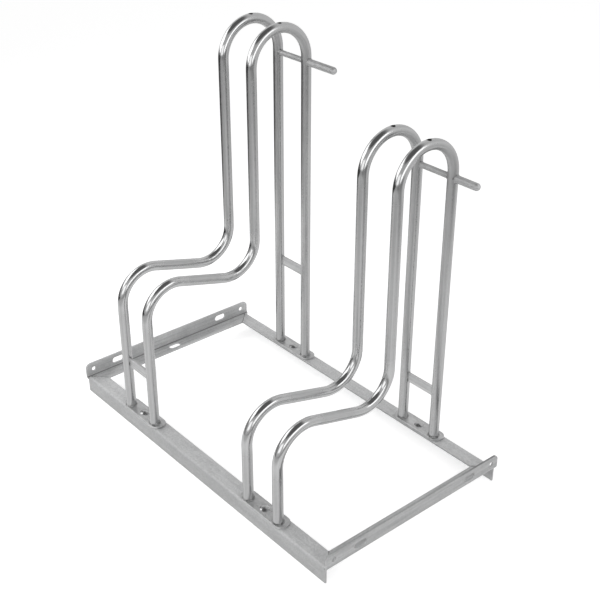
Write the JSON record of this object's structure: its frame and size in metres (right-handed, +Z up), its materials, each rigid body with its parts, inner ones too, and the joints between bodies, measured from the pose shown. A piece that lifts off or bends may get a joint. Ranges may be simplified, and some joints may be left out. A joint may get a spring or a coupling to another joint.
{
  "type": "bicycle rack",
  "caption": "Free-standing bicycle rack with a high and a low place: pairs of bent tube wheel hoops bolted by foot plates to a rectangular frame of steel angle.",
  "frame": {"origin": "on the ground under the middle of the rack", "axes": "+Z up, +X along the row of bicycles from the high place to the low place, +Y from the front rail, where a wheel comes in, to the rear rail"},
  "size_m": [0.696, 0.389, 0.7059],
  "materials": {
    "angle_steel": "zinc coated, matt to satin",
    "side_steel": "zinc coated, matt to satin",
    "tube_steel": "zinc plated, satin on the straights and bright on the bends",
    "plate_steel": "zinc plated, satin",
    "bar_steel": "zinc plated, satin",
    "rod_steel": "zinc plated, satin",
    "stub_steel": "zinc plated, matt",
    "bolt_steel": "zinc plated, bright"
  },
  "bodies": {
    "root": {"front_rail": "angle_steel", "rear_rail": "angle_steel", "left_side_bar": "side_steel", "right_side_bar": "side_steel", "tall_left_hoop": "tube_steel", "tall_right_hoop": "tube_steel", "low_left_hoop": "tube_steel", "low_right_hoop": "tube_steel", "tall_front_foot_plate": "plate_steel", "tall_rear_foot_plate": "plate_steel", "low_front_foot_plate": "plate_steel", "low_rear_foot_plate": "plate_steel", "tall_front_cross_bar": "bar_steel", "tall_rear_cross_bar": "bar_steel", "low_rear_cross_bar": "bar_steel", "tall_back_rod": "rod_steel", "low_back_rod": "rod_steel", "tall_rod_stub": "stub_steel", "low_rod_stub": "stub_steel", "foot_bolts": "bolt_steel", "foot_nuts": "bolt_steel"}
  },
  "joints": []
}
